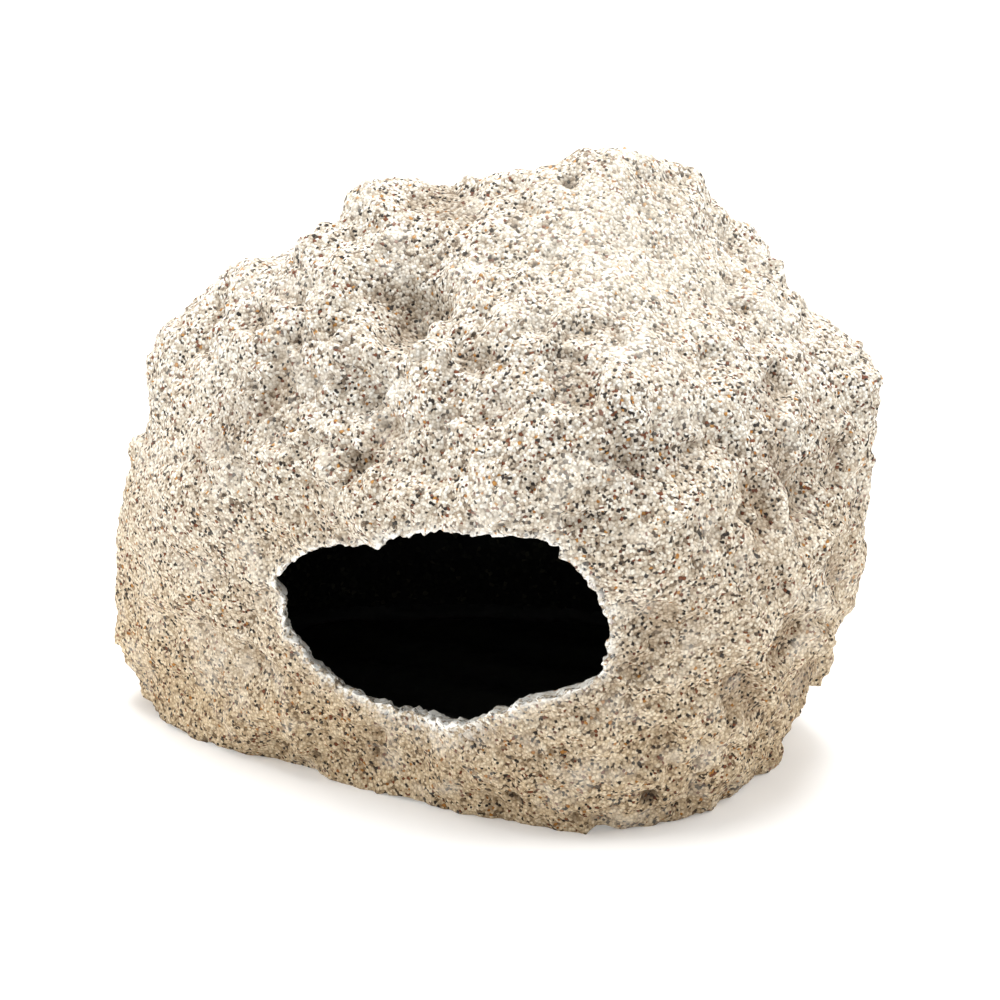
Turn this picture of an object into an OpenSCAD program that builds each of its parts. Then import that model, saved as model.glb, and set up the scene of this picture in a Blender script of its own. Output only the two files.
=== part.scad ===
// Resin cave ornament for an aquarium or pond: a hollow artificial rock with one broken-edged
// mouth in its front, a black lining and a black rippled floor.
// Millimetres, +Z up. The mouth faces -Y. The origin is on the resting plane, under the middle
// of the rock's bounding box.

/* [Rock body] */
// Length of the rock from its left end to its right end, along X
rock_length = 152; // [140:1:165]
// Depth of the rock from the mouth side to the back, along Y
rock_depth = 112; // [100:1:125]
// Height of the summit above the resting plane
rock_height = 122; // [112:1:132]
// Strength of the coarse lumps and hollows on the outside
lump_depth = 1.6; // [0:0.1:2.4]
// Strength of the small broken texture on the outside
grit_depth = 0.8; // [0:0.1:1.2]

/* [Wall] */
// Thickness of the speckled sand-and-resin face coat
coat_thick = 2.0; // [1.6:0.1:2.4]
// Thickness of the pale casting behind the face coat
cast_thick = 3.4; // [2.6:0.1:4.2]
// Thickness of the black lining inside the casting
liner_thick = 1.4; // [1.2:0.1:1.8]

/* [Mouth] */
// Width of the mouth at the front face
mouth_width = 71; // [62:1:75]
// Height of the mouth at the front face
mouth_height = 39; // [34:1:42]
// Distance that the mouth's middle stands to the right of the rock's middle
mouth_shift = 9; // [6:1:12]
// Height of the mouth's middle above the resting plane
mouth_mid_z = 41; // [39:1:44]
// How far the broken rim wanders in and out
rim_jag = 1.5; // [0:0.1:2]

/* [Floor] */
// Thickness of the black floor slab
floor_thick = 5; // [4:0.5:6]
// Height of the gentle ripples cast into the floor
ripple_height = 1.1; // [0:0.1:1.6]
// Leg size of the bonding bead where the lining meets the floor
bead_leg = 2.4; // [1.8:0.2:3]

/* [Hidden] */
core_z = 55;                      // height of the point that every wall radius starts from
// stretches the rock to its stated size
STRETCH = [rock_length / 149, rock_depth / 112, rock_height / 121.5];
body_shift = [6.2 * STRETCH[0], -6.4 * STRETCH[1]]; // puts the origin under the middle of the rock
AZ_STEPS = 80;                    // facets round the rock, outer faces
EL_STEPS = 34;                    // facets from below the base to the summit, outer faces
EL_LOW = -64;                     // lowest ring of every wall face, well below the base
IN_AZ_STEPS = 48;                 // the same for the lining and the inner side of the casting
IN_EL_STEPS = 21;

// unit vector: azimuth 0 is the front (-Y), 90 the right end (+X); elevation 90 is up
function dirv(a, e) = [cos(e) * sin(a), -cos(e) * cos(a), sin(e)];

// the broken faces of the rock: azimuth, elevation and distance of each face from the core point
FACES = [
  [-6, -12, 46],    // lower front, where the mouth is
  [-30, -4, 60],    // front left, rounded
  [-62, 2, 84],     // left end
  [-66, 18, 78],    // left end, upper
  [-52, -22, 88],   // left end, tucked under
  [-112, 5, 68],    // back left
  [-150, 0, 62],    // back, left part
  [180, 5, 58],     // back
  [150, 0, 64],     // back, right part
  [120, 0, 80],     // right end
  [106, -19, 72],   // right side, tucked under
  [90, -6, 74],     // right side
  [62, -12, 71],    // front right corner
  [28, -11, 56],    // right of the mouth
  [111, -24, 85],   // right end, tucked under
  [76, -30, 74],    // low right front corner
  [135, 40, 70],    // right upper slope
  [75, 30, 62],     // right shoulder slope
  [84, 62, 57],     // large smooth facet right of the summit
  [40, 25, 62],     // front right shoulder
  [8, 56, 52],      // upper front, from the brow to the summit
  [-4, 30, 51],     // brow over the mouth
  [-40, 25, 60],    // front left shoulder
  [-89, 55, 62],    // left shoulder top
  [-150, 72, 58],   // top, left of the summit
  [170, 42, 64],    // back upper slope
  [-138, 40, 64]    // back left upper slope
];
FACE_DIRS = [for (f = FACES) dirv(f[0], f[1])];
FACE_INV = [for (f = FACES) 1 / f[2]];
SHARP = 16;         // higher gives crisper edges between the faces

// knobs (+) and hollows (-): azimuth, elevation, height in mm and angular size in degrees
LUMPS = [
  [138, 68, 10, 16],    // summit
  [144, 52, 4, 8],      // right shoulder of the summit
  [-68, 70, 2, 8],      // knob left of the summit
  [-11, 58, -8, 9],     // deep hollow in front of the knob
  [-4, 34, -3.5, 8],    // its lower end, above the brow
  [-78, 46, -5, 9],     // notch between the shoulder and the knob
  [-45, 44, -3, 6],     // small dip in the front of the shoulder
  [96, 5, -5, 8],       // pocket in the right side
  [124, 15, 3, 8],      // knob on the right end
  [63, 35, 3.5, 10],    // ridge under the smooth facet
  [-35, -5, -2, 12],    // shallow flat left of the mouth
  [60, -12, -2, 12],    // shallow flat right of the mouth
  [-160, 20, -4, 14],   // hollow in the back
  [165, -5, 3, 12],     // swelling low on the back
  [-120, -10, 3, 12]    // swelling low on the back left
];
LUMP_DIRS = [for (b = LUMPS) dirv(b[0], b[1])];

// repeatable value noise in three dimensions
function hash3(x, y, z) = let (s = sin(x * 127.1 + y * 311.7 + z * 74.7) * 4375.85) s - floor(s);
function ease(t) = t * t * (3 - 2 * t);
function mixv(a, b, t) = a + (b - a) * t;
function noise3(p) =
  let (i = [floor(p[0]), floor(p[1]), floor(p[2])],
       f = [ease(p[0] - i[0]), ease(p[1] - i[1]), ease(p[2] - i[2])],
       a = mixv(hash3(i[0], i[1], i[2]), hash3(i[0] + 1, i[1], i[2]), f[0]),
       b = mixv(hash3(i[0], i[1] + 1, i[2]), hash3(i[0] + 1, i[1] + 1, i[2]), f[0]),
       c = mixv(hash3(i[0], i[1], i[2] + 1), hash3(i[0] + 1, i[1], i[2] + 1), f[0]),
       d = mixv(hash3(i[0], i[1] + 1, i[2] + 1), hash3(i[0] + 1, i[1] + 1, i[2] + 1), f[0]))
  2 * mixv(mixv(a, b, f[1]), mixv(c, d, f[1]), f[2]) - 1;

function lump_sum(n, i = 0) = i == len(LUMPS) ? 0
  : let (c = min(1, LUMP_DIRS[i] * n), w = LUMPS[i][3] * PI / 180)
    LUMPS[i][2] * exp((c - 1) * 2 / (w * w)) + lump_sum(n, i + 1);

// radius of the bare rock, without lumps
function facet_radius(n) =
  pow([for (i = [0 : len(FACES) - 1]) pow(max(0, FACE_DIRS[i] * n) * FACE_INV[i], SHARP)]
      * [for (i = [0 : len(FACES) - 1]) 1], -1 / SHARP);

function rock_radius(n) =
  let (r = facet_radius(n), p = r * n)
  r + lump_sum(n) + lump_depth * noise3(p / 19 + [7, 3, 5]) * 1.6
    + grit_depth * noise3(p / 8 + [1, 9, 4]) * 1.4;

// one closed wall face at a set depth below the rock's outside
function ring_el(j, steps) = EL_LOW + (90 - EL_LOW) * j / steps;
function wall_point(n, depth, radius) =
  let (p = (radius - depth) * n + [0, 0, core_z])
  [p[0] * STRETCH[0] + body_shift[0], p[1] * STRETCH[1] + body_shift[1], p[2] * STRETCH[2]];

module wall_body(na, ne, depth) {
  pts = concat(
    [for (j = [0 : ne - 1]) for (i = [0 : na - 1])
      let (n = dirv(i * 360 / na, ring_el(j, ne))) wall_point(n, depth, rock_radius(n))],
    [let (n = [0, 0, 1]) wall_point(n, depth, rock_radius(n))]);
  top = na * ne;
  tris = concat(
    [for (j = [0 : ne - 2]) for (i = [0 : na - 1])
      let (a = j * na + i, b = j * na + (i + 1) % na, c = a + na, d = b + na)
      each ((i + j) % 2 == 0 ? [[a, d, b], [a, c, d]] : [[a, c, b], [b, c, d]])],
    [for (i = [0 : na - 1]) [(ne - 1) * na + i, top, (ne - 1) * na + (i + 1) % na]],
    [[for (i = [0 : na - 1]) i]]);
  polyhedron(points = pts, faces = tris, convexity = 8);
}

// outline of the broken mouth, seen from the front, on a circle of steps
function rim_shape(a) =
  let (c = cos(a), s = sin(a), q = pow(pow(abs(c), 2.4) + pow(abs(s), 2.4), -1 / 2.4))
  [q * c * mouth_width / 2, q * s * mouth_height / 2 + q * c * mouth_width / 2 * 0.13];
module mouth_outline(grow) {
  offset(delta = grow)
    polygon([for (i = [0 : 53])
      let (a = i * 360 / 54, p = rim_shape(a),
           k = 1 + rim_jag * (noise3([p[0] / 5, p[1] / 5, 2]) + 0.6 * noise3([p[0] / 2.3, p[1] / 2.3, 8])) / 28)
      p * k]);
}
module mouth_cut(grow = 0) {
  translate([mouth_shift + body_shift[0], -30, mouth_mid_z])
    rotate([90, 0, 0]) linear_extrude(height = 60, scale = 1.12) mouth_outline(grow);
}

// broken notches along the ragged base edge: angle round the rock, size in mm
NOTCHES = [[-62, 3], [-38, 2.4], [-12, 2.6], [14, 2], [30, 3.2], [47, 2.2], [80, 3], [125, 2.6], [170, 3], [-105, 2.8]];
module base_notches() {
  for (k = NOTCHES)
    let (n = dirv(k[0], 0), r = rock_radius(dirv(k[0], -40)) * cos(40))
    translate([n[0] * r * STRETCH[0] + body_shift[0], n[1] * r * STRETCH[1] + body_shift[1], 0])
      rotate([0, 0, k[0]])
        hull() {
          translate([0, -k[1] * 1.6, -1]) cube([k[1] * 2.4, k[1] * 2, 2], center = true);
          translate([k[1] * 0.3, 0, -1]) cylinder(h = k[1] + 1, r1 = k[1] * 0.7, r2 = k[1] * 0.25, $fn = 7);
        }
}

module above_base() { translate([-150, -150, 0]) cube([300, 300, 200]); }

inner_face = coat_thick + cast_thick;
cave_face = inner_face + liner_thick;

// speckled outer skin of bonded sand and resin
module stone_coat() color([0.80, 0.76, 0.69]) render() {
  difference() {
    intersection() { wall_body(AZ_STEPS, EL_STEPS, 0); above_base(); }
    wall_body(AZ_STEPS, EL_STEPS, coat_thick);
    mouth_cut();
    base_notches();
  }
}

// pale structural casting between the face coat and the lining
module casting() color([0.86, 0.83, 0.77]) render() {
  difference() {
    intersection() { wall_body(AZ_STEPS, EL_STEPS, coat_thick); above_base(); }
    wall_body(IN_AZ_STEPS, IN_EL_STEPS, inner_face);
    mouth_cut();
    base_notches();
  }
}

// black lining of the cave walls and ceiling
module cave_liner() color([0.05, 0.05, 0.05]) render() {
  difference() {
    intersection() {
      wall_body(IN_AZ_STEPS, IN_EL_STEPS, inner_face);
      translate([-150, -150, 0.6]) cube([300, 300, 200]);
    }
    wall_body(IN_AZ_STEPS, IN_EL_STEPS, cave_face);
    mouth_cut(0.4);
    base_notches();
  }
}

// floor of the cave with low ripples from front to back
function floor_top(x, y) =
  floor_thick + ripple_height * (0.5 + 0.5 * sin(y * 22 + 30 * noise3([x / 22, y / 22, 3])))
    + 0.5 * noise3([x / 12, y / 12, 6]);
module floor_block() {
  nx = 26; ny = 26; w = 150; d = 130;
  top = [for (j = [0 : ny]) for (i = [0 : nx])
    let (x = -w / 2 + w * i / nx, y = -d / 2 + d * j / ny) [x, y, floor_top(x, y)]];
  m = (nx + 1) * (ny + 1);
  rim = concat([for (i = [0 : nx]) i], [for (j = [1 : ny]) j * (nx + 1) + nx],
    [for (i = [1 : nx]) ny * (nx + 1) + nx - i], [for (j = [1 : ny - 1]) (ny - j) * (nx + 1)]);
  low = [for (k = rim) [top[k][0], top[k][1], 0.6]];
  n = len(rim);
  polyhedron(points = concat(top, low), faces = concat(
    [for (j = [0 : ny - 1]) for (i = [0 : nx - 1]) let (a = j * (nx + 1) + i) each [[a, a + nx + 1, a + 1], [a + 1, a + nx + 1, a + nx + 2]]],
    [for (k = [0 : n - 1]) each [[rim[k], rim[(k + 1) % n], m + k], [rim[(k + 1) % n], m + (k + 1) % n, m + k]]],
    [[for (k = [0 : n - 1]) m + k]]), convexity = 4);
}
module floor_slab() color([0.07, 0.07, 0.07]) render() {
  difference() {
    intersection() { floor_block(); wall_body(IN_AZ_STEPS, IN_EL_STEPS, cave_face); }
    base_notches();
  }
}

// resin bead run round the joint of floor and lining
module floor_bead() color([0.1, 0.1, 0.1]) render() {
  difference() {
    intersection() {
      wall_body(IN_AZ_STEPS, IN_EL_STEPS, cave_face);
      translate([-150, -150, floor_thick - 0.5]) cube([300, 300, bead_leg + 1.5]);
    }
    wall_body(IN_AZ_STEPS, IN_EL_STEPS, cave_face + bead_leg);
    floor_block();
    base_notches();
  }
}

stone_coat();
casting();
cave_liner();
floor_slab();
floor_bead();
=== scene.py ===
import math

import bpy
import numpy as np
from mathutils import Matrix, Vector


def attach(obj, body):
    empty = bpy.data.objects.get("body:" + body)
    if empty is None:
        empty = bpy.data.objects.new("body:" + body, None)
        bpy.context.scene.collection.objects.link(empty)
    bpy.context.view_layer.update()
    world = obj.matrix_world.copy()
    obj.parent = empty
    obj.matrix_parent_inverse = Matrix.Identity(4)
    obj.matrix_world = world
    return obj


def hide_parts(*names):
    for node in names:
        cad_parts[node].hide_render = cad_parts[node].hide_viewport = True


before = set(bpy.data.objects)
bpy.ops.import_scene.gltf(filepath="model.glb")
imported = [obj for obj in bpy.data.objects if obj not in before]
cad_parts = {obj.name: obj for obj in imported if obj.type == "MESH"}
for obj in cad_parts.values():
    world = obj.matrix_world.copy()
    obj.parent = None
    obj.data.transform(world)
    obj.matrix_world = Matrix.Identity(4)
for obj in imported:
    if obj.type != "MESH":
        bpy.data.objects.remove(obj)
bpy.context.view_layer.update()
scene = bpy.context.scene
MM = 0.001

# ------------------------------------------------------------------ the rock's form
# The same broken faces, lumps and coarse noise as the CAD walls, in millimetres about the core.
STRETCH = np.array([152 / 149, 1.0, 122 / 121.5])
SHIFT = np.array([6.2 * STRETCH[0], -6.4, 0.0])
CORE_Z = 55.0
COAT, CAST, LINER = 2.0, 3.4, 1.4
FLOOR_T, BEAD = 5.0, 2.4

FACES = [
    (-6, -12, 46), (-30, -4, 60), (-62, 2, 84), (-66, 18, 78), (-52, -22, 88),
    (-112, 5, 68), (-150, 0, 62), (180, 5, 58), (150, 0, 64), (120, 0, 80),
    (106, -19, 72), (90, -6, 74), (62, -12, 71), (28, -11, 56), (111, -24, 85),
    (76, -30, 74), (135, 40, 70), (75, 30, 62), (84, 62, 57), (40, 25, 62),
    (8, 56, 52), (-4, 30, 51), (-40, 25, 60), (-89, 55, 62), (-150, 72, 58),
    (170, 42, 64), (-138, 40, 64),
]
LUMPS = [
    (138, 68, 10, 16), (144, 52, 4, 8), (-68, 70, 2, 8), (-11, 58, -8, 9), (-4, 34, -3.5, 8),
    (-78, 46, -5, 9), (-45, 44, -3, 6), (96, 5, -5, 8), (124, 15, 3, 8), (63, 35, 3.5, 10),
    (-35, -5, -2, 12), (60, -12, -2, 12), (-160, 20, -4, 14), (165, -5, 3, 12), (-120, -10, 3, 12),
]
# Smaller knobs (+) and hollows (-): azimuth, elevation, height mm, width deg, length deg, turn deg
MARKS = [
    (-12, 59, -1.7, 7, 6, 0), (-10, 51, -2.2, 5, 5, 0), (-24, 56, -1.4, 3, 5, 0), (3, 60, -1.4, 4, 4, 0),
    (-38, 60, 1.5, 4, 7, 0), (-30, 50, 1.8, 3, 9, -8), (-17, 42, 1.8, 3, 8, 0), (4, 50, 1.8, 3, 9, 8),
    (-5, 20, -3.2, 4, 2.6, 10), (1, 27, -2.6, 4, 3, 20), (-8, 34, -1.6, 4, 4, 0), (9, 35, 1.4, 5, 4, 0),
    (-50, 37, -2.4, 5, 3, 20), (-65, 29, -2.4, 4, 3, 0), (-34, 34, -2.4, 3.4, 4, 0), (-40, 40, 1.6, 3, 7, -20),
    (-60, 33, 1.8, 4, 4, 0), (-68, 65, 2.4, 5, 5, 0), (-50, 79, -3.0, 7, 6, 0), (-58, 55, 2.0, 5, 4, 0),
    (-76, 17, 3.0, 9, 9, 0), (-73, 39, 3.0, 8, 6, 0), (-72, -27, 3.0, 12, 7, 0), (-68, -13, 1.4, 10, 7, 0), (-46, -43, 3.0, 11, 6, 0), (-64, -42, 3.4, 10, 7, 0), (118, -16, 3.6, 8, 7, 0),
    (109, -30, -3.2, 9, 6, 0), (135, 42, 3.4, 9, 7, 0), (131, 57, 1.6, 7, 5, 0), (105, 80, 1.6, 5, 4, 0),
    (25, 45, -1.6, 4, 5, 20), (30, 33, -1.4, 5, 3, 0), (17, 46, 1.2, 3, 7, 10), (38, 61, 1.6, 2.6, 9, -30),
    (46, 48, 1.6, 2.6, 9, -25), (55, 30, 1.9, 2.6, 9, -10), (50, 22, -1.6, 5, 3, 0), (44, 14, -1.5, 5, 2.6, -8),
    (86, 16, -3.4, 3.2, 4, 20), (91, 9, -3.2, 3.4, 4, -10), (77, 8, -3.0, 3, 4.4, -20), (82, 12, -1.2, 9, 8, 0),
    (98, -9, -3.0, 3, 6, 10), (88, -18, -2.8, 4.4, 4, 0), (81, -27, -2.6, 4, 4, 0), (93, -2, 1.8, 4, 4, 0),
    (93, -14, 1.4, 4, 3, 0), (84, -22, 1.6, 4, 3, 0), (118, 79, -2.2, 4, 3, 0), (127, 61, -1.8, 3, 7, 20),
    (125, 44, -2.2, 3, 3, 0), (106, 70, 1.0, 8, 6, 0), (115, 18, 2.0, 5, 4, 0), (70, 20, -1.2, 6, 2.6, 12),
    (12, 13, 1.0, 16, 3, 0), (-19, 21, -1.4, 9, 2, 8), (-30, 15, 1.0, 8, 3, 0), (66, 3, -1.2, 5, 3, 0),
    (52, 4, 0.9, 10, 8, 0), (60, -8, -1.0, 6, 4, 0), (-58, -4, 1.0, 10, 8, 0), (-47, -26, -1.4, 5, 4, 0),
    (68, -28, 1.2, 7, 5, 0), (-75, 10, -1.2, 3, 7, 12), (-62, 12, 0.9, 3, 10, 0), (-45, 5, -0.8, 3, 10, 0),
    (-160, 40, -2.0, 8, 5, 15), (150, 25, 1.8, 8, 5, 20), (175, 5, -2.0, 9, 4, -20), (-130, 20, 1.6, 6, 7, 0),
    (-100, 0, -1.8, 4, 9, 10), (140, -15, 1.6, 7, 5, 0), (-170, 60, 1.6, 6, 5, 0), (-100, 35, 1.8, 6, 4, 0),
    (160, -25, -1.6, 8, 4, 0), (-115, 48, -2.2, 5, 4, 0), (-140, -10, -1.8, 5, 5, 0), (155, 50, -2.0, 6, 4, 30),
]
# Small blown pores near the base and on the face: azimuth, elevation, depth mm, radius deg
PORES = [
    (-32, -51, 1.7, 1.2), (33, -48.5, 1.7, 1.3), (61, -41.5, 1.8, 1.7), (46, -46.5, 1.3, 0.9),
    (109, 78, 1.3, 1.5), (-58, -43, 1.4, 1.1), (-12, -52, 1.1, 0.8), (70, -36, 1.1, 0.8),
    (88, 10, 1.3, 1.3), (92, 3, 1.1, 1.0), (-35, 39, 1.1, 1.1), (150, -30, 1.4, 1.2),
    (-150, -34, 1.4, 1.1), (-95, -30, 1.2, 1.0), (120, -20, 1.2, 1.0),
]


def dirv(a, e):
    a, e = math.radians(a), math.radians(e)
    return np.array([math.cos(e) * math.sin(a), -math.cos(e) * math.cos(a), math.sin(e)])


def ease(t):
    return t * t * (3 - 2 * t)


def cad_hash(x, y, z):
    s = np.sin(np.radians(x * 127.1 + y * 311.7 + z * 74.7)) * 4375.85
    return s - np.floor(s)


def int_hash(x, y, z, seed=0):
    h = (x.astype(np.int64) * 374761393 + y.astype(np.int64) * 668265263
         + z.astype(np.int64) * 1440662683 + seed * 974634777) & 0xFFFFFFFF
    h = ((h ^ (h >> 13)) * 1274126177) & 0xFFFFFFFF
    h = ((h ^ (h >> 16)) * 974634777) & 0xFFFFFFFF
    return (h ^ (h >> 15)) / 4294967296.0


def lattice(p, hasher):
    i = np.floor(p)
    f = ease(p - i)
    out = 0
    for dx in (0, 1):
        wx = f[:, 0] if dx else 1 - f[:, 0]
        for dy in (0, 1):
            wy = f[:, 1] if dy else 1 - f[:, 1]
            for dz in (0, 1):
                wz = f[:, 2] if dz else 1 - f[:, 2]
                out = out + wx * wy * wz * hasher(i[:, 0] + dx, i[:, 1] + dy, i[:, 2] + dz)
    return 2 * out - 1


def cad_noise(p):
    return lattice(p, cad_hash)


def noise(p, seed=0):
    return lattice(p, lambda x, y, z: int_hash(x, y, z, seed))


def fbm(p, octaves, seed=0, gain=0.5):
    out, amp = 0, 1.0
    for k in range(octaves):
        out = out + amp * noise(p * (2.03 ** k) + 17.3 * k, seed + k)
        amp *= gain
    return out


def shards(p, seed):
    """Broken planes: each cell of a random lattice gets its own tilt, and the planes meet in creases. Returns the height and how near a crease is."""
    base = np.floor(p)
    best = np.full(len(p), 9.0)
    second = np.full(len(p), 9.0)
    height = np.zeros(len(p))
    for dx in (-1, 0, 1):
        for dy in (-1, 0, 1):
            for dz in (-1, 0, 1):
                c = base + np.array([dx, dy, dz])
                r = [int_hash(c[:, 0], c[:, 1], c[:, 2], seed + k) for k in range(6)]
                q = p - (c + np.stack(r[:3], 1))
                d = np.sqrt((q * q).sum(1))
                h = (q * (np.stack(r[3:6], 1) * 2 - 1)).sum(1) + (r[3] - 0.5) * 0.9
                nearer = d < best
                second = np.where(nearer, best, np.minimum(second, d))
                height = np.where(nearer, h, height)
                best = np.where(nearer, d, best)
    edge = np.clip((second - best) / 0.16, 0, 1)
    return height * ease(edge), edge


FACE_N = np.array([dirv(a, e) for a, e, _ in FACES])
FACE_D = np.array([d for _, _, d in FACES])


def base_radius(n):
    """The CAD wall's radius along unit directions n."""
    t = np.clip(n @ FACE_N.T, 0, None) / FACE_D
    r = (t ** 16).sum(1) ** (-1 / 16)
    p = r[:, None] * n
    for a, e, h, w in LUMPS:
        r = r + h * np.exp((np.minimum(1, n @ dirv(a, e)) - 1) * 2 / math.radians(w) ** 2)
    r = r + 1.6 * 1.6 * cad_noise(p / 19 + np.array([7, 3, 5]))
    return r + 0.8 * 1.4 * cad_noise(p / 8 + np.array([1, 9, 4]))


def marks(n):
    """Named knobs and hollows, their outlines pulled about so that none is round."""
    p = n * 62
    pull = np.stack([noise(p / 6.5, 21 + k) for k in range(3)], 1) * 0.060
    pull = pull + np.stack([noise(p / 2.8, 25 + k) for k in range(3)], 1) * 0.026
    n = n + pull
    n = n / np.linalg.norm(n, axis=1)[:, None]
    out = np.zeros(len(n))
    for a, e, h, w, l, turn in MARKS:
        c = dirv(a, e)
        u = np.array([math.cos(math.radians(a)), math.sin(math.radians(a)), 0.0])
        v = np.cross(c, u)
        t = math.radians(turn)
        x = n @ (math.cos(t) * u + math.sin(t) * v) / math.radians(w)
        y = n @ (math.cos(t) * v - math.sin(t) * u) / math.radians(l)
        near = n @ c > 0
        out += np.where(near, h * np.exp(-(x * x + y * y) ** 1.35), 0)
    return out


def smooth_mask(n):
    """1 where the rock breaks roughly, lower on its smooth faces."""
    m = np.ones(len(n))
    for a, e, w, k in ((88, 60, 17, 0.75), (15, 12, 13, 0.55), (-58, 0, 16, 0.6), (50, 0, 12, 0.35), (-5, -30, 14, 0.3),
                       (72, 20, 11, 0.4)):
        m -= k * np.exp((n @ dirv(a, e) - 1) * 2 / math.radians(w) ** 2)
    return np.clip(m, 0.15, 1)


def form_radius(n):
    """Radius of the rock's face, with its ledges and hollows but without its grit."""
    r = base_radius(n)
    p = r[:, None] * n
    warp = np.stack([noise(p / 14, 31), noise(p / 14, 32), noise(p / 14, 33)], 1) * 3.0
    q = p + warp
    big, _ = shards(q / 15.0, 51)
    small, _ = shards(q / 6.5 + 3.3, 71)
    m = smooth_mask(n)
    add = (1.2 * marks(n) + m * (2.0 * big + 0.9 * small + 0.8 * fbm(p / 6.0, 3, 91))
           + 0.45 * fbm(p / 3.0, 2, 95) - 0.45)
    return r + np.where(add < -1.6, -1.6 + 1.2 * np.tanh((add + 1.6) / 1.2), add)


def grit(n, r):
    """Grain-sized relief of the sand coat, in millimetres."""
    p = r[:, None] * n
    m = 0.55 + 0.45 * smooth_mask(n)
    g = 0.30 * m * noise(p / 1.9, 11) + 0.20 * noise(p / 1.05, 12) + 0.10 * noise(p / 0.62, 13)
    lump = np.clip(noise(p / 1.5, 14) - 0.45, 0, None) * 0.7
    pit = np.clip(noise(p / 1.3, 15) - 0.50, 0, None) * 0.9
    g = g + m * (lump - pit)
    for a, e, d, w in PORES:
        x = np.arccos(np.clip(n @ dirv(a, e), -1, 1)) / math.radians(w)
        g = g - d * np.exp(-(x ** 4))
    return np.maximum(g, -1.7)


def to_world(n, r):
    return ((r[:, None] * n + np.array([0, 0, CORE_Z])) * STRETCH + SHIFT) * MM


def from_world(v):
    p = (v / MM - SHIFT) / STRETCH - np.array([0, 0, CORE_Z])
    r = np.linalg.norm(p, axis=1)
    return p / r[:, None], r


# ------------------------------------------------------------------ mesh tools
def ball(k):
    """An even closed net of unit directions, k squares along each cube edge."""
    t = np.tan(np.linspace(-1, 1, k + 1) * math.pi / 4)
    u, v = np.meshgrid(t, t, indexing="ij")
    one = np.ones_like(u)
    sides = [(one, u, v), (-one, v, u), (v, one, u), (u, -one, v), (u, v, one), (v, u, -one)]
    pts = np.concatenate([np.stack([a.ravel(), b.ravel(), c.ravel()], 1) for a, b, c in sides])
    i, j = np.meshgrid(np.arange(k), np.arange(k), indexing="ij")
    a = (i * (k + 1) + j).ravel()
    quad = np.stack([a, a + k + 1, a + k + 2, a + 1], 1)
    quads = np.concatenate([quad + s * (k + 1) ** 2 for s in range(6)])
    key = np.round(pts * 1e6).astype(np.int64)
    _, first, back = np.unique(key, axis=0, return_index=True, return_inverse=True)
    back = back.reshape(-1)
    pts = pts[first]
    return pts / np.linalg.norm(pts, axis=1)[:, None], back[quads]


def make_mesh(name, verts, faces):
    me = bpy.data.meshes.new(name)
    faces = np.asarray(faces)
    me.vertices.add(len(verts))
    me.vertices.foreach_set("co", np.asarray(verts, dtype=np.float32).ravel())
    w = faces.shape[1]
    me.loops.add(faces.size)
    me.loops.foreach_set("vertex_index", faces.astype(np.int32).ravel())
    me.polygons.add(len(faces))
    me.polygons.foreach_set("loop_start", np.arange(0, faces.size, w, dtype=np.int32))
    me.update(calc_edges=True)
    me.validate()
    return me


def coords(me):
    v = np.empty(len(me.vertices) * 3, dtype=np.float32)
    me.vertices.foreach_get("co", v)
    return v.reshape(-1, 3).astype(float)


def shell(name, k, radius, foot):
    """A closed layer about the core, cut flat a few millimetres under the ground."""
    n, q = ball(k)
    reach = (CORE_Z + foot) / np.clip(-n[:, 2], 1e-3, None)
    return make_mesh(name, to_world(n, np.minimum(radius(n), reach)), q)


def combine(a, b, operation):
    """Boolean of two closed meshes, as a new mesh."""
    oa = bpy.data.objects.new("bool_a", a)
    ob = bpy.data.objects.new("bool_b", b)
    for o in (oa, ob):
        scene.collection.objects.link(o)
    mod = oa.modifiers.new("cut", "BOOLEAN")
    mod.solver = "MANIFOLD"
    mod.operation = operation
    mod.object = ob
    bpy.context.view_layer.update()
    out = bpy.data.meshes.new_from_object(oa.evaluated_get(bpy.context.evaluated_depsgraph_get()))
    for o in (oa, ob):
        bpy.data.objects.remove(o)
    bpy.data.meshes.remove(a)
    return out


# ------------------------------------------------------------------ the mouth
MOUTH_X, MOUTH_Z, MOUTH_Y = 16.0, 42.0, -50.0
RIM = [
    (-37, 2), (-35, 4), (-31, 6.4), (-26, 9.6), (-21, 12), (-15, 13.4), (-8, 15), (-2, 18), (5, 20),
    (12, 21), (18, 21), (23, 22), (26, 20), (28, 17), (31, 15), (33, 11), (35, 7), (35, 2),
    (34, -2), (33.4, -6.4), (30, -9.6), (24, -11.4), (19, -13), (14, -15.6), (9, -18.4), (3, -21.4), (-5, -22),
    (-13, -21.2), (-19.6, -19.8), (-25, -17.4), (-29, -13.6), (-32.4, -9.4), (-34.4, -5.4), (-34.4, -2),
]
RIM_A = np.array([math.atan2(z, x) for x, z in RIM])
RIM_R = np.array([math.hypot(x, z) for x, z in RIM])
order = np.argsort(RIM_A)
RIM_A, RIM_R = RIM_A[order], RIM_R[order]
RIM_A = np.concatenate([RIM_A - 2 * math.pi, RIM_A, RIM_A + 2 * math.pi])
RIM_R = np.tile(RIM_R, 3)


def rim_radius(a):
    """Distance from the mouth's middle to its broken edge, by angle."""
    a = np.mod(a + math.pi, 2 * math.pi) - math.pi
    soft = sum(np.interp(a + s, RIM_A, RIM_R) for s in (-0.05, 0.0, 0.05)) / 3
    p = np.stack([soft * np.cos(a), np.zeros_like(a), soft * np.sin(a)], 1)
    return soft + 0.75 * noise(p / 3.6, 201) + 0.42 * noise(p / 1.6, 202)


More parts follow.
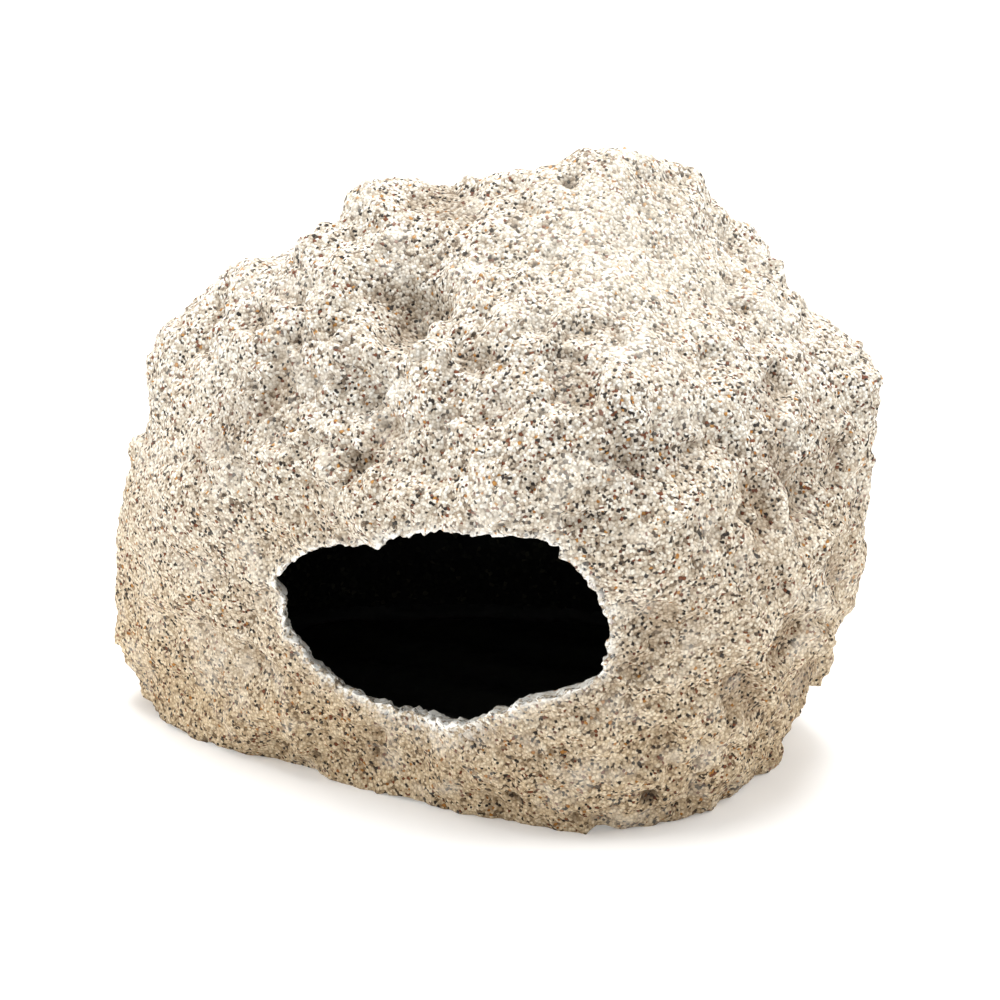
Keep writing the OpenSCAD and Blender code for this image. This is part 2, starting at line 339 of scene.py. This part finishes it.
def face_depth(a):
    """Where along Y the rock's face stands at each angle of the mouth's edge."""
    y = np.arange(-66.0, -30.0, 0.5)
    aa, yy = np.meshgrid(a, y, indexing="ij")
    r = rim_radius(aa.ravel())
    v = np.stack([MOUTH_X + r * np.cos(aa.ravel()), yy.ravel(), MOUTH_Z + r * np.sin(aa.ravel())], 1)
    n, far = from_world(v * MM)
    inside = (far < form_radius(n)).reshape(aa.shape)
    return y[np.argmax(inside, 1)]


def flare(a, y, face_y):
    """How far the edge opens behind the face: most at the left, little at the bottom."""
    seen = np.clip(-0.577 * np.cos(a) - 0.375 * np.sin(a), 0, 1)
    down = np.exp(-((np.mod(a + math.pi * 1.5, 2 * math.pi) - math.pi * 0.98) / 0.55) ** 2)
    top = np.clip(np.sin(a), 0, 1)
    slope = np.clip(seen - 0.06 - 0.34 * down, 0.0, 1) + 0.22 * top
    return slope * np.clip(y - face_y - 0.4, 0, 8.5)


def mouth_cutter(name, grow):
    rows, cols = 64, 640
    a = np.arange(cols) * 2 * math.pi / cols
    y = np.linspace(-80, -28, rows)
    aa, yy = np.meshgrid(a, y, indexing="xy")
    aa, yy = aa.ravel(), yy.ravel()
    r = rim_radius(aa) + grow + flare(aa, yy, np.tile(face_depth(a), rows))
    p = np.stack([r * np.cos(aa), yy, r * np.sin(aa)], 1)
    r = r + 0.7 * noise(p / 2.6, 211) + 0.60 * noise(p / 1.3, 212) + 0.28 * noise(p / 0.75, 213)
    v = np.stack([MOUTH_X + r * np.cos(aa), yy, MOUTH_Z + r * np.sin(aa)], 1)
    i, j = np.meshgrid(np.arange(rows - 1), np.arange(cols), indexing="ij")
    i, j = i.ravel(), j.ravel()
    k = (j + 1) % cols
    q = np.stack([i * cols + j, (i + 1) * cols + j, (i + 1) * cols + k, i * cols + k], 1)
    ends = []
    v = np.concatenate([v, [[MOUTH_X, -80, MOUTH_Z], [MOUTH_X, -28, MOUTH_Z]]])
    c0, c1 = rows * cols, rows * cols + 1
    jj = np.arange(cols)
    kk = (jj + 1) % cols
    tri = np.concatenate([
        np.stack([q[:, 0], q[:, 1], q[:, 2]], 1), np.stack([q[:, 0], q[:, 2], q[:, 3]], 1),
        np.stack([np.full(cols, c0), jj, kk], 1),
        np.stack([np.full(cols, c1), (rows - 1) * cols + kk, (rows - 1) * cols + jj], 1),
    ])
    return make_mesh(name, v * MM, outward(v, tri))


def outward(v, tri):
    """Turns a closed mesh's faces outwards."""
    a, b, c = v[tri[:, 0]], v[tri[:, 1]], v[tri[:, 2]]
    return tri if np.einsum("ij,ij->i", a, np.cross(b, c)).sum() > 0 else tri[:, ::-1]


def grid_block(name, x0, x1, y0, y1, step, top, low):
    """A closed block with a shaped top over a flat underside."""
    nx, ny = int(round((x1 - x0) / step)), int(round((y1 - y0) / step))
    xs, ys = np.linspace(x0, x1, nx + 1), np.linspace(y0, y1, ny + 1)
    X, Y = np.meshgrid(xs, ys, indexing="xy")
    X, Y = X.ravel(), Y.ravel()
    v = np.stack([X, Y, top(X, Y)], 1)
    j, i = np.meshgrid(np.arange(ny), np.arange(nx), indexing="ij")
    a = (j * (nx + 1) + i).ravel()
    tri = np.concatenate([np.stack([a, a + 1, a + nx + 2], 1), np.stack([a, a + nx + 2, a + nx + 1], 1)])
    m = len(v)
    under = v.copy()
    under[:, 2] = low
    v = np.concatenate([v, under])
    edge = ([(k, k + 1) for k in range(nx)] + [(nx + k * (nx + 1), nx + (k + 1) * (nx + 1)) for k in range(ny)]
            + [(ny * (nx + 1) + k + 1, ny * (nx + 1) + k) for k in range(nx)]
            + [((k + 1) * (nx + 1), k * (nx + 1)) for k in range(ny)])
    e = np.array(edge)
    wall = np.concatenate([np.stack([e[:, 0] + m, e[:, 1] + m, e[:, 1]], 1), np.stack([e[:, 0] + m, e[:, 1], e[:, 0]], 1)])
    tri = np.concatenate([tri, tri[:, ::-1] + m, wall])
    return make_mesh(name, v * MM, outward(v, tri))


def ragged_ground(x, y):
    """What the broken lower edge is cut to: flat on the ground, with shallow missing chips."""
    p = np.stack([x, y, np.zeros_like(x)], 1)
    h = 1.5 * np.clip(noise(p / 6.0, 301) - 0.12, 0, None) + 0.5 * np.clip(noise(p / 2.2, 302) - 0.1, 0, None)
    out = np.clip((np.hypot(x / 70.0, y / 50.0) - 0.62) / 0.12, 0, 1)
    return h * out


def floor_top(x, y):
    """The cast ripples of the floor, low and uneven, running from side to side."""
    p = np.stack([x, y, np.zeros_like(x)], 1)
    wave = np.sin(np.radians(y * 22 + 30 * noise(p / 22, 401)) + 0.9 * noise(p / 30, 402))
    return (FLOOR_T + 1.1 * (0.5 + 0.5 * wave) * (0.75 + 0.35 * noise(p / 17, 403))
            + 0.4 * noise(p / 12, 404) + 0.12 * noise(p / 4, 405) + 0.05 * noise(p / 1.5, 406))


# ------------------------------------------------------------------ node material tools
def srgb(r, g, b):
    def lin(c):
        c /= 255.0
        return c / 12.92 if c <= 0.04045 else ((c + 0.055) / 1.055) ** 2.4
    return (lin(r), lin(g), lin(b), 1.0)


class Nodes:
    def __init__(self, name):
        self.mat = bpy.data.materials.new(name)
        self.mat.use_nodes = True
        self.t = self.mat.node_tree
        self.t.nodes.clear()
        self.out = self.t.nodes.new("ShaderNodeOutputMaterial")
        self.bsdf = self.t.nodes.new("ShaderNodeBsdfPrincipled")
        self.link(self.bsdf.outputs[0], self.out.inputs[0])
        tc = self.t.nodes.new("ShaderNodeTexCoord")
        sc = self.t.nodes.new("ShaderNodeVectorMath")
        sc.operation = "SCALE"
        sc.inputs["Scale"].default_value = 1000.0
        self.link(tc.outputs["Object"], sc.inputs[0])
        self.mm = sc.outputs[0]

    def link(self, a, b):
        self.t.links.new(a, b)

    def put(self, sock, v):
        if hasattr(v, "is_linked"):
            self.link(v, sock)
        else:
            sock.default_value = v

    def math(self, op, a, b=None, c=None, clamp=False):
        n = self.t.nodes.new("ShaderNodeMath")
        n.operation = op
        n.use_clamp = clamp
        for i, v in enumerate((a, b, c)):
            if v is not None:
                self.put(n.inputs[i], v)
        return n.outputs[0]

    def vadd(self, a, b):
        n = self.t.nodes.new("ShaderNodeVectorMath")
        n.operation = "ADD"
        self.put(n.inputs[0], a)
        self.put(n.inputs[1], b)
        return n.outputs[0]

    def vscale(self, a, s):
        n = self.t.nodes.new("ShaderNodeVectorMath")
        n.operation = "SCALE"
        self.put(n.inputs[0], a)
        n.inputs["Scale"].default_value = s
        return n.outputs[0]

    def noise(self, size_mm, detail=3.0, rough=0.55, vec=None, distortion=0.0):
        n = self.t.nodes.new("ShaderNodeTexNoise")
        self.link(vec or self.mm, n.inputs["Vector"])
        n.inputs["Scale"].default_value = 1.0 / size_mm
        n.inputs["Detail"].default_value = detail
        n.inputs["Roughness"].default_value = rough
        n.inputs["Distortion"].default_value = distortion
        return n

    def cells(self, size_mm, vec=None, feature="F1", randomness=1.0):
        n = self.t.nodes.new("ShaderNodeTexVoronoi")
        n.feature = feature
        self.link(vec or self.mm, n.inputs["Vector"])
        n.inputs["Scale"].default_value = 1.0 / size_mm
        n.inputs["Randomness"].default_value = randomness
        return n

    def ramp(self, fac, stops, mode="LINEAR"):
        n = self.t.nodes.new("ShaderNodeValToRGB")
        n.color_ramp.interpolation = mode
        el = n.color_ramp.elements
        while len(el) > 1:
            el.remove(el[-1])
        el[0].position, el[0].color = stops[0]
        for pos, col in stops[1:]:
            e = el.new(pos)
            e.color = col
        self.link(fac, n.inputs[0])
        return n.outputs[0]

    def mix(self, fac, a, b, blend="MIX"):
        n = self.t.nodes.new("ShaderNodeMix")
        n.data_type = "RGBA"
        n.blend_type = blend
        self.put(n.inputs[0], fac)
        self.put(n.inputs[6], a)
        self.put(n.inputs[7], b)
        return n.outputs[2]

    def split(self, col):
        n = self.t.nodes.new("ShaderNodeSeparateColor")
        self.link(col, n.inputs[0])
        return n.outputs

    def attr(self, name):
        n = self.t.nodes.new("ShaderNodeAttribute")
        n.attribute_name = name
        return n.outputs["Fac"]

    def maprange(self, v, a, b, c, d):
        n = self.t.nodes.new("ShaderNodeMapRange")
        self.put(n.inputs[0], v)
        for i, x in enumerate((a, b, c, d)):
            n.inputs[i + 1].default_value = x
        return n.outputs[0]

    def bump(self, height, strength, distance, normal=None):
        n = self.t.nodes.new("ShaderNodeBump")
        n.inputs["Strength"].default_value = strength
        n.inputs["Distance"].default_value = distance
        self.link(height, n.inputs["Height"])
        if normal is not None:
            self.link(normal, n.inputs["Normal"])
        return n.outputs[0]


def stone_face():
    """Bonded coloured sand: cream and clear quartz with black, rust and amber grains."""
    m = Nodes("stone_face")
    jitter = m.noise(0.9, 2.0, 0.6)
    vec = m.vadd(m.mm, m.vscale(jitter.outputs["Color"], 0.22))
    g = m.cells(0.60, vec)
    rnd = m.split(g.outputs["Color"])
    body = m.ramp(rnd[0], [
        (0.00, srgb(252, 250, 243)), (0.18, srgb(241, 235, 224)), (0.40, srgb(226, 217, 202)),
        (0.58, srgb(208, 197, 180)), (0.72, srgb(180, 166, 148)), (0.81, srgb(140, 126, 110)),
        (0.87, srgb(92, 82, 72)), (0.91, srgb(54, 49, 46)), (0.948, srgb(126, 78, 56)),
        (0.970, srgb(190, 140, 76)), (0.984, srgb(248, 246, 240)),
    ], "CONSTANT")
    # a sparser set of bigger dark grains lying over the rest
    big = m.cells(0.90, m.vadd(vec, (31.7, 11.9, 5.3)))
    pick = m.split(big.outputs["Color"])
    inside = m.math("LESS_THAN", big.outputs["Distance"], 0.36)
    chosen = m.math("GREATER_THAN", pick[1], 0.80)
    dark = m.ramp(pick[2], [
        (0.0, srgb(46, 42, 40)), (0.50, srgb(78, 70, 62)), (0.72, srgb(112, 66, 46)),
        (0.88, srgb(178, 122, 58)),
    ], "CONSTANT")
    hollow_shade = m.attr("hollow_shade")
    col = m.mix(m.math("MULTIPLY", inside, chosen), body, dark)
    # the gaps between grains are duller: random dull flecks, then painted shade round the border of each grain
    tone = m.noise(0.40, 3.0, 0.6)
    col = m.mix(m.maprange(tone.outputs["Fac"], 0.44, 0.68, 0.0, 0.30), col, srgb(176, 162, 142), "MULTIPLY")
    # painted shade: darkens the edge of each grain so it reads as a rounded bead
    grain_gap_shade = m.maprange(g.outputs["Distance"], 0.38, 0.66, 0.0, 0.50)
    col = m.mix(grain_gap_shade, col, srgb(150, 138, 122), "MULTIPLY")
    # broad drift of tone: whiter on top, warmer and darker low down (partly the sand's own warm tint, partly painted
    # shade), and painted shade in hollows
    sep = m.t.nodes.new("ShaderNodeSeparateXYZ")
    m.link(m.mm, sep.inputs[0])
    low = m.maprange(m.math("ADD", sep.outputs["Z"], m.math("MULTIPLY", m.noise(26, 2.0).outputs["Fac"], 34.0)), 26, 100, 1.0, 0.0)
    col = m.mix(m.math("MULTIPLY", low, 0.85), col, srgb(226, 206, 172), "MULTIPLY")
    # painted shade: darkens the coat in hollows and grit pits
    col = m.mix(m.math("MULTIPLY", hollow_shade, 0.75), col, srgb(172, 156, 136), "MULTIPLY")
    # painted shade inside the blown pores and deep pits
    col = m.mix(m.math("MULTIPLY", m.attr("pore_shade"), 0.8), col, srgb(96, 82, 68), "MULTIPLY")
    patch = m.noise(9.0, 3.0, 0.6)
    col = m.mix(m.maprange(patch.outputs["Fac"], 0.52, 0.72, 0.0, 0.30), col, srgb(246, 240, 228))
    # the smooth upper face has fewer dark grains
    col = m.mix(m.math("MULTIPLY", m.attr("pale"), m.maprange(m.noise(5.0, 3.0).outputs["Fac"], 0.3, 0.6, 0.05, 0.36)), col, srgb(226, 219, 204))
    # the broken edge of the mouth shows bare pale binder
    rim = m.attr("rim")
    chip = m.noise(1.0, 3.0, 0.6)
    rim = m.math("MULTIPLY", rim, m.maprange(chip.outputs["Fac"], 0.43, 0.55, 0.08, 1.35), clamp=True)
    col = m.mix(rim, col, srgb(252, 250, 244))
    m.link(col, m.bsdf.inputs["Base Color"])
    rough = m.math("SUBTRACT", 0.90, m.math("MULTIPLY", m.math("POWER", rnd[1], 4.0), 0.42))
    m.link(rough, m.bsdf.inputs["Roughness"])
    m.bsdf.inputs["Specular IOR Level"].default_value = 0.35
    dome = m.math("SUBTRACT", 1.0, m.math("MULTIPLY", g.outputs["Distance"], 1.1))
    step = m.math("MULTIPLY", rnd[2], 0.55)
    fine = m.noise(0.28, 3.0, 0.6)
    h = m.math("ADD", m.math("ADD", dome, step), m.math("MULTIPLY", fine.outputs["Fac"], 0.35))
    m.link(m.bump(h, 0.75, 0.00026), m.bsdf.inputs["Normal"])
    return m.mat


def stone_core():
    """Pale cast binder with fine sand in it, as the broken rim and the underside show."""
    m = Nodes("stone_core")
    g = m.cells(0.7)
    rnd = m.split(g.outputs["Color"])
    col = m.ramp(rnd[0], [
        (0.0, srgb(253, 251, 245)), (0.40, srgb(246, 241, 231)), (0.68, srgb(230, 221, 206)),
        (0.86, srgb(186, 172, 154)), (0.94, srgb(112, 101, 90)), (0.975, srgb(186, 132, 88)),
    ], "CONSTANT")
    cloud = m.noise(4.0, 4.0, 0.6)
    col = m.mix(m.maprange(cloud.outputs["Fac"], 0.35, 0.7, 0.05, 0.45), col, srgb(248, 245, 237))
    m.link(col, m.bsdf.inputs["Base Color"])
    m.link(m.maprange(rnd[1], 0, 1, 0.72, 0.95), m.bsdf.inputs["Roughness"])
    fine = m.noise(0.5, 4.0, 0.65)
    h = m.math("ADD", m.math("SUBTRACT", 1.0, g.outputs["Distance"]), m.math("MULTIPLY", fine.outputs["Fac"], 0.8))
    m.link(m.bump(h, 0.6, 0.0002), m.bsdf.inputs["Normal"])
    return m.mat


def black_lining():
    """Black resin brushed over the inside, with a little sand grain showing through."""
    m = Nodes("black_lining")
    g = m.cells(0.9)
    rnd = m.split(g.outputs["Color"])
    col = m.ramp(rnd[0], [
        (0.0, srgb(20, 20, 18)), (0.55, srgb(28, 28, 24)), (0.86, srgb(42, 43, 34)), (0.965, srgb(64, 64, 50)),
    ], "CONSTANT")
    m.link(col, m.bsdf.inputs["Base Color"])
    m.link(m.maprange(m.noise(6.0, 3.0).outputs["Fac"], 0.3, 0.7, 0.62, 0.9), m.bsdf.inputs["Roughness"])
    m.bsdf.inputs["Specular IOR Level"].default_value = 0.25
    brush = m.noise(2.4, 4.0, 0.6)
    h = m.math("ADD", m.math("MULTIPLY", brush.outputs["Fac"], 2.0), m.math("SUBTRACT", 1.0, g.outputs["Distance"]))
    m.link(m.bump(h, 0.6, 0.0003), m.bsdf.inputs["Normal"])
    return m.mat


def black_floor(name, shade):
    """Smooth black cast resin, satin on the crests of its ripples."""
    m = Nodes(name)
    cloud = m.noise(11.0, 4.0, 0.55)
    col = m.mix(m.maprange(cloud.outputs["Fac"], 0.35, 0.7, 0.0, 1.0), srgb(*shade), srgb(*[c + 7 for c in shade]))
    speck = m.cells(1.1)
    pick = m.split(speck.outputs["Color"])
    dot = m.math("MULTIPLY", m.math("GREATER_THAN", pick[0], 0.965), m.math("LESS_THAN", speck.outputs["Distance"], 0.3))
    col = m.mix(dot, col, srgb(50, 49, 44))
    m.link(col, m.bsdf.inputs["Base Color"])
    m.link(m.maprange(m.noise(5.0, 3.0).outputs["Fac"], 0.3, 0.7, 0.55, 0.8), m.bsdf.inputs["Roughness"])
    m.bsdf.inputs["Specular IOR Level"].default_value = 0.3
    h = m.noise(1.6, 4.0, 0.6)
    m.link(m.bump(h.outputs["Fac"], 0.35, 0.0003), m.bsdf.inputs["Normal"])
    return m.mat


# ------------------------------------------------------------------ the pieces
def finish_piece(name, mesh, node, mat, smooth=True):
    mesh.name = name
    mesh.materials.clear()
    mesh.materials.append(mat)
    mesh.polygons.foreach_set("use_smooth", np.full(len(mesh.polygons), smooth))
    for v in list(mesh.attributes):
        if v.name.startswith("sharp") or v.name == "material_index":
            try:
                mesh.attributes.remove(v)
            except RuntimeError:
                pass
    o = bpy.data.objects.new(name, mesh)
    scene.collection.objects.link(o)
    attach(o, "root")
    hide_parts(node)
    return o


def point_attr(mesh, name, values):
    a = mesh.attributes.new(name, "FLOAT", "POINT")
    a.data.foreach_set("value", np.asarray(values, dtype=np.float32))


def outer_radius(n):
    r = form_radius(n)
    return r + grit(n, r)


K = 200
cutter = mouth_cutter("mouth_cutter", 0.0)
ground = grid_block("ground_cut", -90, 90, -72, 72, 0.9, ragged_ground, -70)

# speckled face coat
coat = shell("coat", K, outer_radius, 5)
behind_coat = shell("behind_coat", 96, lambda n: form_radius(n) - COAT, 8)
coat = combine(coat, behind_coat, "DIFFERENCE")
coat = combine(coat, cutter, "DIFFERENCE")
coat = combine(coat, ground, "DIFFERENCE")
n, r = from_world(coords(coat))
form = form_radius(n)
face = np.clip(1 - np.abs(r - (form + grit(n, form))) / 0.5, 0, 1)
smooth_form = base_radius(n)
# painted shade mask: how deep a point sits below the smooth wall, plus the grit pits
hollow_shade = np.clip((smooth_form - 0.6 - form) / 2.4, 0, 1) * 0.9 + np.clip(-grit(n, form) / 0.9, 0, 1) * 0.7
point_attr(coat, "hollow_shade", np.clip(hollow_shade, 0, 1))
point_attr(coat, "pale", np.clip(np.exp(-(np.arccos(np.clip(n @ dirv(88, 60), -1, 1)) / math.radians(19)) ** 2) * 1.1, 0, 1))
# painted shade mask for the deepest pits and pores
point_attr(coat, "pore_shade", np.clip((-grit(n, form) - 0.75) / 0.6, 0, 1))
v = coords(coat) / MM
a = np.arctan2(v[:, 2] - MOUTH_Z, v[:, 0] - MOUTH_X)
away = np.hypot(v[:, 0] - MOUTH_X, v[:, 2] - MOUTH_Z) - rim_radius(a)
front = v[:, 1] < -30
under = np.exp(-((np.mod(a + math.pi * 1.5, 2 * math.pi) - math.pi) / 0.8) ** 2)
edge = np.where(front, np.exp(-np.clip(away, 0, None) / (0.7 + 1.3 * under)), 0)
edge = np.where(front & (face < 0.4), 1.0, edge)
point_attr(coat, "rim", edge)
finish_piece("rock_coat", coat, "stone_coat", stone_face())

# pale casting
cast = shell("cast", 110, lambda n: form_radius(n) - COAT - 0.02, 5)
behind_cast = shell("behind_cast", 64, lambda n: base_radius(n) - COAT - CAST, 8)
cast = combine(cast, behind_cast, "DIFFERENCE")
cast = combine(cast, cutter, "DIFFERENCE")
cast = combine(cast, ground, "DIFFERENCE")
finish_piece("rock_casting", cast, "casting", stone_core())


# black lining
def lining_radius(n):
    r = base_radius(n) - COAT - CAST - LINER
    p = r[:, None] * n
    return r + 0.35 * fbm(p / 5.0, 3, 501) + 0.10 * noise(p / 1.1, 505)


liner = shell("liner", 64, lambda n: base_radius(n) - COAT - CAST - 0.02, 5)
cave = shell("cave", 110, lining_radius, 8)
wide_cutter = mouth_cutter("wide_cutter", 0.4)
slab_low = grid_block("slab_low", -90, 90, -72, 72, 12, lambda x, y: np.full(len(x), 0.6), -70)
liner = combine(liner, cave, "DIFFERENCE")
liner = combine(liner, wide_cutter, "DIFFERENCE")
liner = combine(liner, slab_low, "DIFFERENCE")
finish_piece("cave_lining", liner, "cave_liner", black_lining())

# rippled floor
slab = grid_block("slab", -76, 76, -58, 58, 0.8, floor_top, 0.6)
cave_smooth = shell("cave_smooth", 90, lambda n: lining_radius(n) - 0.02, 5)
slab = combine(slab, cave_smooth, "INTERSECT")
finish_piece("cave_floor", slab, "floor_slab", black_floor("black_floor", (38, 38, 35)))


# hand-run bead round the floor
def bead_radius(n):
    r = lining_radius(n)
    z = CORE_Z + r * n[:, 2]
    t = np.clip((z - FLOOR_T - 0.8) / (BEAD + 1.0), 0, 1)
    p = r[:, None] * n
    return r - BEAD * (1 - t) ** 2 * (0.9 + 0.25 * noise(p / 6.0, 601)) + 0.05


bead = shell("bead", 100, lambda n: lining_radius(n) - 0.03, 5)
bead_in = shell("bead_in", 100, bead_radius, 8)
bead = combine(bead, bead_in, "DIFFERENCE")
band_low = grid_block("band_low", -90, 90, -72, 72, 0.8, lambda x, y: floor_top(x, y) + 0.01, -70)
band_top = grid_block("band_top", -90, 90, -72, 72, 12, lambda x, y: np.full(len(x), 160.0), FLOOR_T + BEAD + 1.2)
bead = combine(bead, band_low, "DIFFERENCE")
bead = combine(bead, band_top, "DIFFERENCE")
finish_piece("floor_bead_run", bead, "floor_bead", black_floor("black_bead", (30, 30, 28)))

for m in list(bpy.data.meshes):
    if m.users == 0:
        bpy.data.meshes.remove(m)

# ------------------------------------------------------------------ floor, light and camera
bpy.ops.mesh.primitive_plane_add(size=12, location=(0, 0, 0))
ground_plane = bpy.context.object
ground_plane.name = "studio_floor"
fm = bpy.data.materials.new("studio_floor")
fm.use_nodes = True
fb = fm.node_tree.nodes["Principled BSDF"]
fb.inputs["Base Color"].default_value = (0.93, 0.93, 0.93, 1)
fb.inputs["Roughness"].default_value = 0.9
fb.inputs["Specular IOR Level"].default_value = 0.1
fb.inputs["Emission Color"].default_value = (1, 1, 1, 1)
fb.inputs["Emission Strength"].default_value = 0.12
ground_plane.data.materials.append(fm)

world = bpy.data.worlds.new("studio")
scene.world = world
world.use_nodes = True
world.node_tree.nodes["Background"].inputs[0].default_value = (1.0, 1.0, 1.0, 1)
world.node_tree.nodes["Background"].inputs[1].default_value = 0.56

CAM_AZ, CAM_EL, CAM_D = math.radians(30), math.radians(18), 0.62
aim = Vector((6.2 * MM, -6.4 * MM, 55 * MM))
right = Vector((math.cos(CAM_AZ), math.sin(CAM_AZ), 0))
towards = Vector((math.sin(CAM_AZ) * math.cos(CAM_EL), -math.cos(CAM_AZ) * math.cos(CAM_EL), math.sin(CAM_EL)))
up = towards.cross(right)


def area(name, side, high, near, size, power, colour=(1, 1, 1)):
    """A softbox placed from the camera's point of view: to the side, above and in front, in metres."""
    l = bpy.data.lights.new(name, "AREA")
    l.shape = "DISK"
    l.size = size
    l.energy = power
    l.color = colour
    flat = Vector((towards.x, towards.y, 0)).normalized()
    o = bpy.data.objects.new(name, l)
    o.location = aim + right * side + flat * near + Vector((0, 0, high))
    o.rotation_euler = (aim - o.location).to_track_quat("-Z", "Y").to_euler()
    scene.collection.objects.link(o)
    return o


area("key", -0.03, 1.30, -0.08, 0.9, 21.0, (1.0, 0.995, 0.98))
area("left", -1.20, 0.45, -0.10, 0.9, 8.0, (1.0, 1.0, 0.99))
area("right", 1.10, 0.80, -0.10, 0.9, 7.0, (1.0, 1.0, 0.99))
area("far", 0.0, 1.30, -1.60, 1.6, 14.0, (1.0, 1.0, 1.0))

cam = bpy.data.cameras.new("camera")
cam.sensor_width = 36
cam.lens = 36 * CAM_D / 0.2
cam.shift_y = -0.015
cam.clip_start = 0.01
cam_o = bpy.data.objects.new("camera", cam)
cam_o.matrix_world = Matrix((
    (right.x, up.x, towards.x, aim.x + towards.x * CAM_D),
    (right.y, up.y, towards.y, aim.y + towards.y * CAM_D),
    (right.z, up.z, towards.z, aim.z + towards.z * CAM_D),
    (0, 0, 0, 1),
))
scene.collection.objects.link(cam_o)
scene.camera = cam_o
scene.view_settings.view_transform = "Standard"
